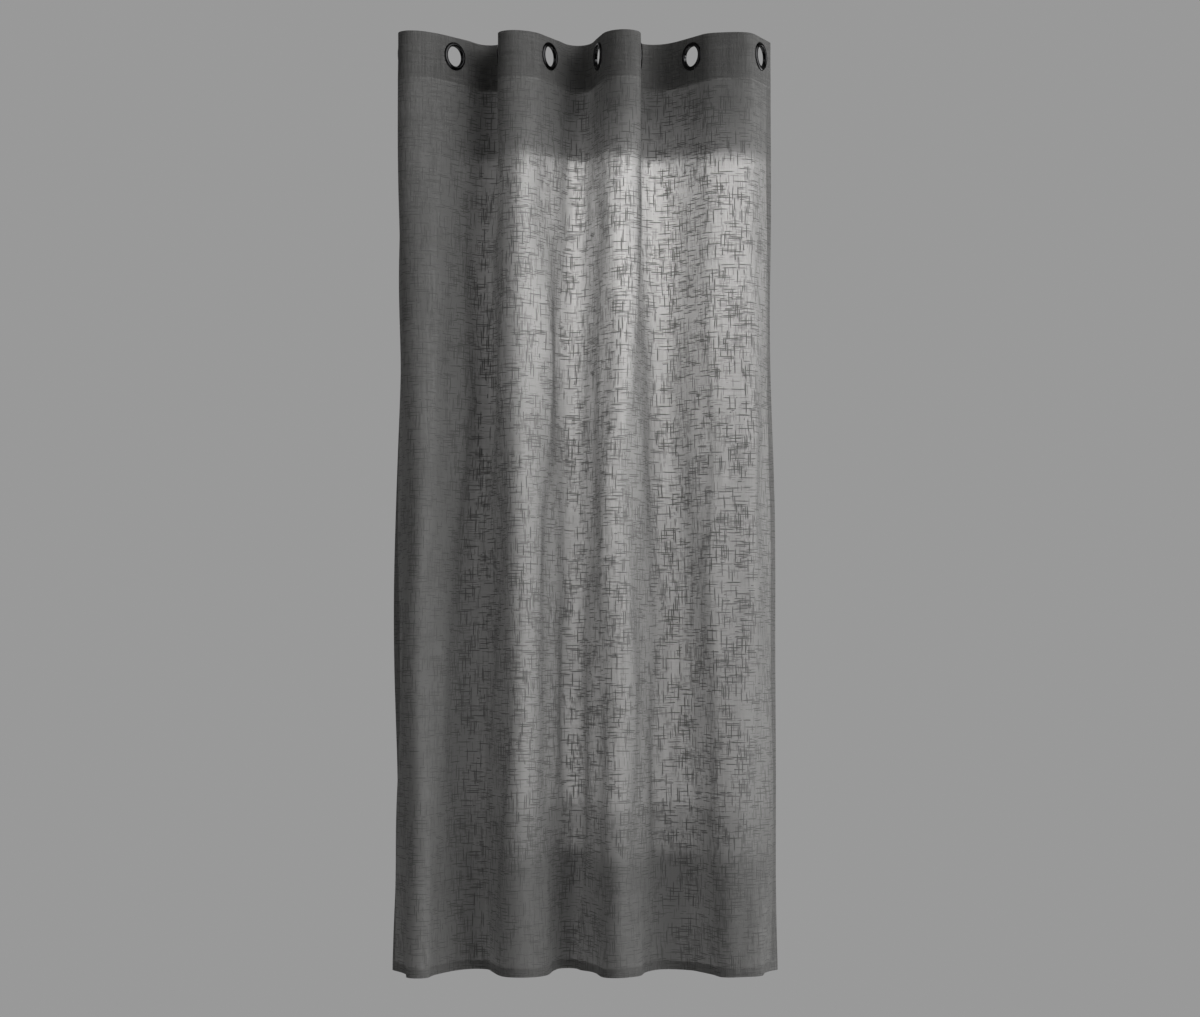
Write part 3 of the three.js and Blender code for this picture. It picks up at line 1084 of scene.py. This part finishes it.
@dataclass
class ClothStrip(Strip):
    """The woven cloth of one strip, with its turned header, bottom hem and side hem.

    The mesh has close rows in the header, as far as below_header under its seam, and in the bottom hem,
    from hem_lead above its upper edge. Wider rows between them stop above_hem over that edge.
    """

    column: float = 0.0035
    header_row: float = 0.0042
    fall_row: float = 0.0105
    hem_row: float = 0.0032
    below_header: float = 0.012
    above_hem: float = 0.004
    hem_lead: float = 0.002
    last_gap: float = 1e-4

    def columns(self) -> Array:
        """Places of the mesh's columns along the cloth."""
        begin, end = self.span
        return np.linspace(begin, end, max(3, round((end - begin) / self.column) + 1))

    def path(self) -> tuple[Array, Array, Array]:
        """The cloth's way round in one column: down from the header's rear edge, over the top and to the hem.

        Returns:
            Distance along the cloth, height through it and height, for each row.
        """
        p = self.panel
        turn_top, turn_low = p.header_gap / 2, p.hem_gap / 2
        rear = np.arange(p.z_header, p.z_top - turn_top - self.last_gap, self.header_row)
        arc = np.linspace(-math.pi / 2, math.pi / 2, 7)
        begin, end = p.z_top - turn_top - self.header_row, p.z_header - self.below_header
        header = np.arange(begin, end, -self.header_row)
        fall = np.arange(header[-1] - self.fall_row, p.z_hem + self.above_hem, -self.fall_row)
        hem = np.arange(p.z_hem + self.hem_lead, p.z_bottom + turn_low + self.last_gap, -self.hem_row)
        back = np.arange(p.z_bottom + turn_low + self.hem_row, p.z_hem + self.last_gap, self.hem_row)
        face = np.concatenate([header, fall, hem])
        low_arc = arc + math.pi / 2
        stages = (
            (np.full(len(rear), -p.header_gap), rear),
            (turn_top * (np.sin(arc) - 1), p.z_top - turn_top + turn_top * np.cos(arc)),
            (np.zeros(len(face)), face),
            (turn_low * (np.cos(low_arc) - 1), p.z_bottom + turn_low - turn_low * np.sin(low_arc)),
            (np.full(len(back), -p.hem_gap), back),
        )
        t, z = (np.concatenate(part) for part in zip(*stages))
        way = np.concatenate([[0.0], np.cumsum(np.hypot(np.diff(t), np.diff(z)))])
        return way, t, z

    def build(self, finish: bpy.types.Material) -> bpy.types.Object:
        """Builds the strip.

        Args:
            finish: The cloth's material.

        Returns:
            The piece.
        """
        p = self.panel
        cols = self.columns()
        way, t, z = self.path()
        s, zz = np.meshgrid(cols, z)
        tt, pp = np.broadcast_to(t[:, None], s.shape).copy(), np.broadcast_to(way[:, None], s.shape)
        tt = np.where(tt <= -p.header_gap + 1e-6, tt * self.seam_pinch(zz), tt)
        s, zz, keep = self.open_holes(s, zz)
        grid = SheetGrid()
        points = self.drape.place(s.ravel(), zz.ravel(), tt.ravel())
        flat = np.stack([s.ravel(), p.drop - pp.ravel()], axis=1)
        grid.add(points, flat, len(z), len(cols), keep.ravel(), outward=True)
        if self.index in (0, p.eyelet_count):
            self.add_side_hem(grid)
        made = grid.mesh(f"cloth_strip_{self.index}", finish)
        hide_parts("cloth")
        return made

    def add_side_hem(self, grid: SheetGrid) -> None:
        """Adds the edge turned to the rear.

        Args:
            grid: The strip's layers so far.
        """
        p = self.panel
        inward = np.concatenate([[0.0, -0.00025, -0.0003, -0.0001], np.linspace(0.001, p.side_hem, 7)])
        depth = np.concatenate([[0.0, -0.00022, -0.0006], np.full(8, -p.hem_gap)])
        z = np.arange(p.z_header - 0.0005, p.z_hem, -self.fall_row)
        z = np.append(z, p.z_hem + 0.0005)
        s, zz = np.meshgrid(inward, z)
        tt = np.broadcast_to(depth[None, :], s.shape)
        placed = s if self.index == 0 else p.width - s
        points = self.drape.place(placed.ravel(), zz.ravel(), tt.ravel())
        flat = np.stack([-s.ravel() - 0.01, p.drop - p.header_depth + zz.ravel()], axis=1)
        every = np.ones(s.size, bool)
        grid.add(points, flat, len(z), len(inward), every, outward=self.index != 0)


@dataclass
class HeaderStrip(Strip):
    """The stiff strip inside the header."""

    column: float = 0.005
    rows: int = 20
    below_top: float = 0.0015
    above_seam: float = 0.0005

    def build(self, finish: bpy.types.Material) -> bpy.types.Object:
        """Builds the strip's stiffener.

        Args:
            finish: Its material.

        Returns:
            The piece.
        """
        p = self.panel
        begin, end = self.span
        begin, end = max(begin, p.side_hem), min(end, p.width - p.side_hem)
        cols = np.linspace(begin, end, max(3, round((end - begin) / self.column) + 1))
        low = p.z_header + p.seam_inset + self.above_seam
        s, z = np.meshgrid(cols, np.linspace(p.z_top - self.below_top, low, self.rows))
        s, z, keep = self.open_holes(s, z)
        depth = -p.header_gap / 2 * self.seam_pinch(z)
        grid = SheetGrid()
        points = self.drape.place(s.ravel(), z.ravel(), depth.ravel())
        flat = np.stack([s.ravel(), z.ravel()], axis=1)
        grid.add(points, flat, self.rows, len(cols), keep.ravel(), outward=True)
        made = grid.mesh(f"header_strip_{self.index}", finish)
        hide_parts("header_stiffener")
        return made


class SeamWay(Enum):
    """Which way a line of stitching runs."""

    ACROSS = "across"
    DOWN = "down"


@dataclass
class Seam:
    """A line of lockstitches, seen on both faces of the cloth."""

    drape: Drape
    way: SeamWay
    begin: float
    end: float
    level: float
    rear: float
    stitch: float = 0.0031
    length: float = 0.0026
    radius: float = 0.00021

    def build(self, name: str, node: str, finish: bpy.types.Material) -> bpy.types.Object:
        """Builds every stitch of the line as one piece.

        Args:
            name: Name of the piece.
            node: CAD node that it stands for.
            finish: The thread's material.

        Returns:
            The piece.
        """
        count = max(1, int((self.end - self.begin) / self.stitch))
        step = (self.end - self.begin) / count
        middles = self.begin + (np.arange(count) + 0.5) * step
        along = np.array([-1.0, -0.82, -0.3, 0.3, 0.82, 1.0])
        fat = np.array([0.15, 0.8, 1.0, 1.0, 0.8, 0.15])
        dip = np.array([-1.0, -0.35, 0.0, 0.0, -0.35, -1.0]) * self.radius * 1.4
        around = np.arange(6) * math.pi / 3
        points, faces, count_points = [], [], 0
        for outward, base in ((1, 0.0), (-1, self.rear)):
            run = middles[:, None, None] + (along * self.length / 2)[None, :, None]
            side = self.radius * fat[None, :, None] * np.cos(around)[None, None, :]
            bulge = self.radius * fat[None, :, None] * np.sin(around)[None, None, :]
            rise = base + outward * (self.radius * 0.7 + dip[None, :, None] + bulge)
            shape = (count, len(along), len(around))
            run, side, rise = (np.broadcast_to(q, shape).ravel() for q in (run, side, rise))
            if self.way is SeamWay.ACROSS:
                placed = self.drape.place(run, self.level + side, rise)
            else:
                placed = self.drape.place(self.level + side, run, rise)
            points.append(placed)
            faces += self._faces(count, len(along), len(around), count_points)
            count_points += len(placed)
        made = make_mesh(name, np.concatenate(points), faces, None, finish)
        deselect_all()
        bpy.context.view_layer.objects.active = made
        made.select_set(True)
        bpy.ops.object.mode_set(mode="EDIT")
        bpy.ops.mesh.select_all(action="SELECT")
        bpy.ops.mesh.normals_make_consistent(inside=False)
        deselect_all()
        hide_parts(node)
        return made

    @staticmethod
    def _faces(count: int, rings: int, sides: int, first: int) -> list[tuple[int, ...]]:
        """Side faces and end faces of a row of stitches.

        Args:
            count: Number of stitches.
            rings: Rings along a stitch.
            sides: Points round a ring.
            first: Number of the first point.

        Returns:
            Corners of each face.
        """
        faces: list[tuple[int, ...]] = []
        for stitch in range(count):
            base = first + stitch * rings * sides
            for r in range(rings - 1):
                for q in range(sides):
                    n = (q + 1) % sides
                    a, b = base + r * sides + q, base + r * sides + n
                    faces.append((a, b, b + sides, a + sides))
            faces.append(tuple(base + q for q in range(sides)))
            faces.append(tuple(base + (rings - 1) * sides + q for q in reversed(range(sides))))
        return faces


class RingHalf(Enum):
    """The two halves that press together through the header."""

    FRONT = "front"
    BACK = "back"


@dataclass
class Eyelet:
    """Press-together eyelet: a face half with its barrel, and a back half that the barrel is spread over."""

    drape: Drape
    sides: int = 96
    front_profile: tuple[tuple[float, float], ...] = (
        (20.25, -4.3), (20.02, -4.0), (20.0, -3.4), (20.0, -1.6), (20.0, 0.4), (20.08, 1.3), (20.4, 2.2),
        (21.0, 2.95), (21.9, 3.45), (22.9, 3.62), (24.0, 3.5), (25.2, 3.12), (26.3, 2.5), (27.2, 1.75),
        (27.8, 0.95), (28.0, 0.45), (27.85, 0.16), (27.4, 0.12), (24.0, 0.12), (21.4, 0.12), (21.3, -0.4),
        (21.3, -3.4), (21.3, -4.1), (21.0, -4.45), (20.6, -4.5),
    )
    back_profile: tuple[tuple[float, float], ...] = (
        (21.7, -1.75), (24.0, -1.6), (27.4, -1.6), (27.85, -1.68), (28.0, -1.95), (27.8, -2.5), (27.2, -3.2),
        (26.3, -3.9), (25.2, -4.45), (24.0, -4.75), (22.9, -4.8), (22.1, -4.6), (21.75, -4.2), (21.7, -3.2),
    )
    halves: dict[RingHalf, bpy.types.Mesh] = field(default_factory=dict)

    def turn(self, profile: Sequence[tuple[float, float]], name: str) -> bpy.types.Mesh:
        """Builds a closed ring by extruding a circle from one radius and height to the next.

        Args:
            profile: Radii and heights in millimetres, in order round the section.
            name: Name of the mesh.

        Returns:
            The mesh, with its axis along +Z.
        """
        deselect_all()
        radius, height = profile[0]
        start = (0, 0, height * MM)
        bpy.ops.mesh.primitive_circle_add(vertices=self.sides, radius=radius * MM, location=start)
        made = bpy.context.object
        bpy.ops.object.transform_apply(location=True, rotation=True, scale=True)
        bpy.ops.object.mode_set(mode="EDIT")
        bpy.ops.mesh.select_mode(type="VERT")
        bpy.ops.mesh.select_all(action="SELECT")
        for (r0, h0), (r1, h1) in zip(profile, (*profile[1:], profile[0])):
            bpy.ops.mesh.extrude_edges_move()
            bpy.ops.transform.resize(value=(r1 / r0, r1 / r0, 1), center_override=(0, 0, 0))
            bpy.ops.transform.translate(value=(0, 0, (h1 - h0) * MM))
        bpy.ops.mesh.select_all(action="SELECT")
        bpy.ops.mesh.remove_doubles(threshold=2e-6)
        bpy.ops.mesh.normals_make_consistent(inside=False)
        deselect_all()
        made.name = made.data.name = name
        made.select_set(True)
        bpy.ops.object.shade_smooth_by_angle(angle=math.radians(40))
        mesh = made.data.copy()
        bpy.data.objects.remove(made)
        return mesh

    def shape(self, half: RingHalf) -> bpy.types.Mesh:
        """The mesh of one half, with its rubbed places marked.

        Args:
            half: Which half.

        Returns:
            The mesh, made once.
        """
        if half not in self.halves:
            profile = self.front_profile if half is RingHalf.FRONT else self.back_profile
            mesh = self.turn(profile, f"ring_{half.value}")
            co = np.empty(3 * len(mesh.vertices))
            mesh.vertices.foreach_get("co", co)
            radius = np.hypot(*co.reshape(-1, 3)[:, :2].T) / MM
            rubbed = mesh.attributes.new("rubbed", "FLOAT", "POINT")
            bore = np.clip((20.9 - radius) / 0.8, 0, 1) if half is RingHalf.FRONT else np.zeros(len(radius))
            rubbed.data.foreach_set("value", bore.astype(np.float32))
            self.halves[half] = mesh
        return self.halves[half]

    def build(self, k: int, half: RingHalf, finish: bpy.types.Material) -> bpy.types.Object:
        """Places one half of one eyelet.

        Args:
            k: Eyelet, counted from 0.
            half: Which half.
            finish: Its material.

        Returns:
            The piece.
        """
        mesh = self.shape(half).copy()
        angle = self.drape.eyelet_angle(k)
        out = Vector((math.sin(angle), -math.cos(angle), 0))
        turn = Vector((0, 0, 1)).rotation_difference(out).to_matrix().to_4x4()
        spin = Matrix.Rotation(math.radians(37.0 * k), 4, "Z")
        mesh.transform(Matrix.Translation((float(self.drape.eyelet_x[k]), 0, 0)) @ turn @ spin)
        mesh.materials.clear()
        mesh.materials.append(finish)
        made = bpy.data.objects.new(f"ring_{k + 1}_{half.value}", mesh)
        bpy.context.scene.collection.objects.link(made)
        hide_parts(f"eyelet_{k + 1}_{half.value}")
        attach(made, "panel" if k == 0 else f"slider_{k + 1}")
        return made


@dataclass
class CurtainPanel:
    """The whole panel: nine strips of cloth, the header strip, the seams and the eyelets."""

    panel: PanelSizes = field(default_factory=PanelSizes)
    hang: HangSizes = field(default_factory=HangSizes)
    wrinkles: WrinkleSizes = field(default_factory=WrinkleSizes)

    def __post_init__(self) -> None:
        """Works out how the cloth hangs."""
        self.drape = Drape(self.panel, self.hang, self.wrinkles)
        self.patterns = Patterns()

    def build(self) -> None:
        """Builds and dresses every piece."""
        rings = self.build_eyelets()
        linen = SlubLinen().build(self.patterns)
        strip_finish = Interfacing().build(self.patterns)
        thread = SewingThread().build(self.patterns)
        p = self.panel
        for index in range(p.eyelet_count + 1):
            cloth = ClothStrip(index, p, self.drape)
            piece = cloth.build(linen)
            along = [HeaderStrip(index, p, self.drape).build(strip_finish), *self.build_seams(cloth, thread)]
            for part in (piece, *along):
                cloth.hold(part)
            begin, end = cloth.span
            log.info("%s: %d faces, with %d pieces", piece.name, len(piece.data.polygons), len(along))

    def build_eyelets(self) -> list[bpy.types.Object]:
        """Builds the eyelets.

        Returns:
            The face half of each.
        """
        metal = BlackNickel().build(self.patterns)
        eyelet = Eyelet(self.drape)
        fronts = []
        for k in range(self.panel.eyelet_count):
            fronts.append(eyelet.build(k, RingHalf.FRONT, metal))
            eyelet.build(k, RingHalf.BACK, metal)
            log.info("eyelet %d", k + 1)
        return fronts

    def build_seams(self, strip: Strip, thread: bpy.types.Material) -> list[bpy.types.Object]:
        """Builds the stitching on one strip.

        Args:
            strip: The strip of cloth.
            thread: The thread's material.

        Returns:
            The lines of stitching.
        """
        p = self.panel
        begin, end = strip.span
        n = strip.index
        inset = p.side_hem - p.seam_inset
        low, high = max(begin, p.seam_end), min(end, p.width - p.seam_end)
        header = Seam(self.drape, SeamWay.ACROSS, low, high, p.z_header + p.seam_inset, -p.header_gap * 0.4)
        hem = Seam(self.drape, SeamWay.ACROSS, low, high, p.z_hem - p.seam_inset, -p.hem_gap)
        made = [
            header.build(f"header_seam_{n}", "header_seam_thread", thread),
            hem.build(f"hem_seam_{n}", "hem_seam_thread", thread),
        ]
        sides = {0: ("left", inset), p.eyelet_count: ("right", p.width - inset)}
        if n in sides:
            label, level = sides[n]
            line = Seam(self.drape, SeamWay.DOWN, p.z_hem, p.z_header, level, -p.hem_gap)
            made.append(line.build(f"{label}_seam", f"{label}_seam_thread", thread))
        return made


@dataclass(frozen=True)
class Lamp:
    """A soft rectangular light: its place, the point that it faces, its size, its watts and its spread."""

    name: str
    place: tuple[float, float, float]
    aim: tuple[float, float, float]
    size: tuple[float, float]
    power: float
    spread_degrees: float = 180.0

    def build(self) -> bpy.types.Object:
        """Adds the light.

        Returns:
            The light, which the camera doesn't see.
        """
        data = bpy.data.lights.new(self.name, "AREA")
        data.shape = "RECTANGLE"
        data.size, data.size_y = self.size
        data.energy = self.power
        data.spread = math.radians(self.spread_degrees)
        made = bpy.data.objects.new(self.name, data)
        made.location = self.place
        made.rotation_euler = (Vector(self.aim) - Vector(self.place)).to_track_quat("-Z", "Z").to_euler()
        made.visible_camera = False
        bpy.context.scene.collection.objects.link(made)
        return made


@dataclass
class Studio:
    """Floor, camera and lights.

    The lamps stand at the front right, at the rear and beside the panel. The glow behind the panel has steps
    of brightness up it and across it, each a place from 0 to 1 and a share of the full brightness.
    """

    floor_z: float = -2.35
    floor_side: float = 6.0
    backdrop: Colour = (0.319, 0.319, 0.319)
    room_light: float = 0.05
    soft_lights: tuple[tuple[Vector, float], ...] = (
        (Vector((0.84, -0.52, 0.2)), 3.2),
        (Vector((-0.80, -0.60, 0.2)), 0.4),
    )
    camera_place: tuple[float, float, float] = (0.036, -4.8, -1.165)
    camera_rise: float = 3.25
    lens: float = 73.95
    lamps: tuple[Lamp, ...] = (
        Lamp("key", (2.2, -3.0, 0.4), (0, 0, -0.8), (1.6, 2.4), 6.0),
        Lamp("fill", (-1.4, 2.6, 0.2), (0, 0, -0.8), (1.6, 2.4), 2.5),
        Lamp("side", (2.0, 0.35, -0.7), (0.35, 0, -0.85), (0.9, 2.2), 14.0),
    )
    glow_left: float = -0.250
    glow_right: float = 0.380
    glow_top: float = -0.095
    glow_fall: float = 1.449
    glow_behind: float = 0.24
    glow_fade: tuple[tuple[float, float], ...] = (
        (0.0, 0.16),
        (0.06, 0.18),
        (0.066, 0.36),
        (0.29, 0.42),
        (0.53, 0.6),
        (0.77, 0.95),
        (0.934, 1.0),
        (0.94, 0.14),
        (1.0, 0.03),
    )
    glow_across: tuple[tuple[float, float], ...] = (
        (0.0, 0.1),
        (0.2, 0.14),
        (0.21, 1.0),
        (0.6, 1.0),
        (1.0, 0.7),
    )
    glow_power: float = 9.3
    glow_spread: float = 12.0

    def build(self) -> None:
        """Builds the studio."""
        self.build_floor()
        self.build_camera()
        self.build_surroundings()
        self.build_lights()

    def build_floor(self) -> None:
        """Lays the floor."""
        deselect_all()
        bpy.ops.mesh.primitive_plane_add(size=self.floor_side, location=(0, 0, self.floor_z))
        floor = bpy.context.object
        bpy.ops.object.transform_apply(location=True, rotation=True, scale=True)
        floor.name = floor.data.name = "floor"
        floor.data.materials.append(PalePaint().build())

    def build_camera(self) -> None:
        """Places the camera, level with the lower half of the panel and looking slightly up."""
        data = bpy.data.cameras.new("camera")
        data.lens = self.lens
        data.sensor_width = 36.0
        data.clip_end = 60.0
        made = bpy.data.objects.new("camera", data)
        made.location = self.camera_place
        made.rotation_euler = Euler((math.radians(90 + self.camera_rise), 0, 0))
        bpy.context.scene.collection.objects.link(made)
        bpy.context.scene.camera = made

    def build_surroundings(self) -> None:
        """Sets a plain grey backdrop, and soft light from both sides of the front."""
        world = bpy.data.worlds.new("surroundings")
        world.use_nodes = True
        world.node_tree.nodes.clear()
        g = Graph(world.node_tree)
        way = g.node("ShaderNodeTexCoord").outputs["Generated"]
        soft: object = self.room_light
        for side, strength in self.soft_lights:
            facing = g.node("ShaderNodeVectorMath", operation="DOT_PRODUCT")
            g.join(way, facing.inputs[0])
            facing.inputs[1].default_value = side.normalized()
            soft = g.math("ADD", soft, g.ramp(facing.outputs["Value"], 0.7, 1.0, 0.0, strength))
        light = g.node("ShaderNodeBackground")
        g.join(soft, light.inputs["Strength"])
        plain = g.node("ShaderNodeBackground")
        plain.inputs["Color"].default_value = (*self.backdrop, 1.0)
        seen = g.layered(g.node("ShaderNodeLightPath").outputs["Is Camera Ray"], light, plain)
        g.join(seen.outputs[0], g.node("ShaderNodeOutputWorld").inputs["Surface"])
        bpy.context.scene.world = world
        bpy.context.scene.view_settings.view_transform = "Standard"

    def shares(self, g: Graph, way: object, steps: Sequence[tuple[float, float]]) -> bpy.types.NodeSocket:
        """Adds a run of brightness steps.

        Args:
            g: The light's graph.
            way: How far along the run, from 0 to 1.
            steps: Each step's place and its share of the full brightness.

        Returns:
            The share at each place.
        """
        fade = g.node("ShaderNodeValToRGB")
        g.join(way, fade.inputs[0])
        stops = fade.color_ramp.elements
        while len(stops) < len(steps):
            stops.new(0.5)
        for stop, (at, share) in zip(stops, steps):
            stop.position, stop.color = at, (share, share, share, 1.0)
        return fade.outputs["Color"]

    def add_glow(self) -> None:
        """Adds the light behind the panel, which is weaker lower down and along its top and sides."""
        width, x = self.glow_right - self.glow_left, (self.glow_left + self.glow_right) / 2
        place = (x, self.glow_behind, self.glow_top - self.glow_fall / 2)
        size, power = (width, self.glow_fall), self.glow_power * width * self.glow_fall
        light = Lamp("glow", place, self.camera_place, size, power, self.glow_spread).build().data
        light.use_nodes = True
        g = Graph(light.node_tree)
        split = g.node("ShaderNodeSeparateXYZ")
        g.join(g.node("ShaderNodeNewGeometry").outputs["Parametric"], split.inputs[0])
        up = g.math("SUBTRACT", 1.0, split.outputs[1])
        tall, wide = self.shares(g, up, self.glow_fade), self.shares(g, split.outputs[0], self.glow_across)
        g.join(g.math("MULTIPLY", tall, wide), light.node_tree.nodes["Emission"].inputs["Strength"])

    def build_lights(self) -> None:
        """Sets the lamps, and the glow behind the panel."""
        for lamp in self.lamps:
            lamp.build()
        self.add_glow()


def main() -> None:
    """Builds the panel, then the studio."""
    CurtainPanel().build()
    Studio().build()


if __name__ == "__main__":
    main()
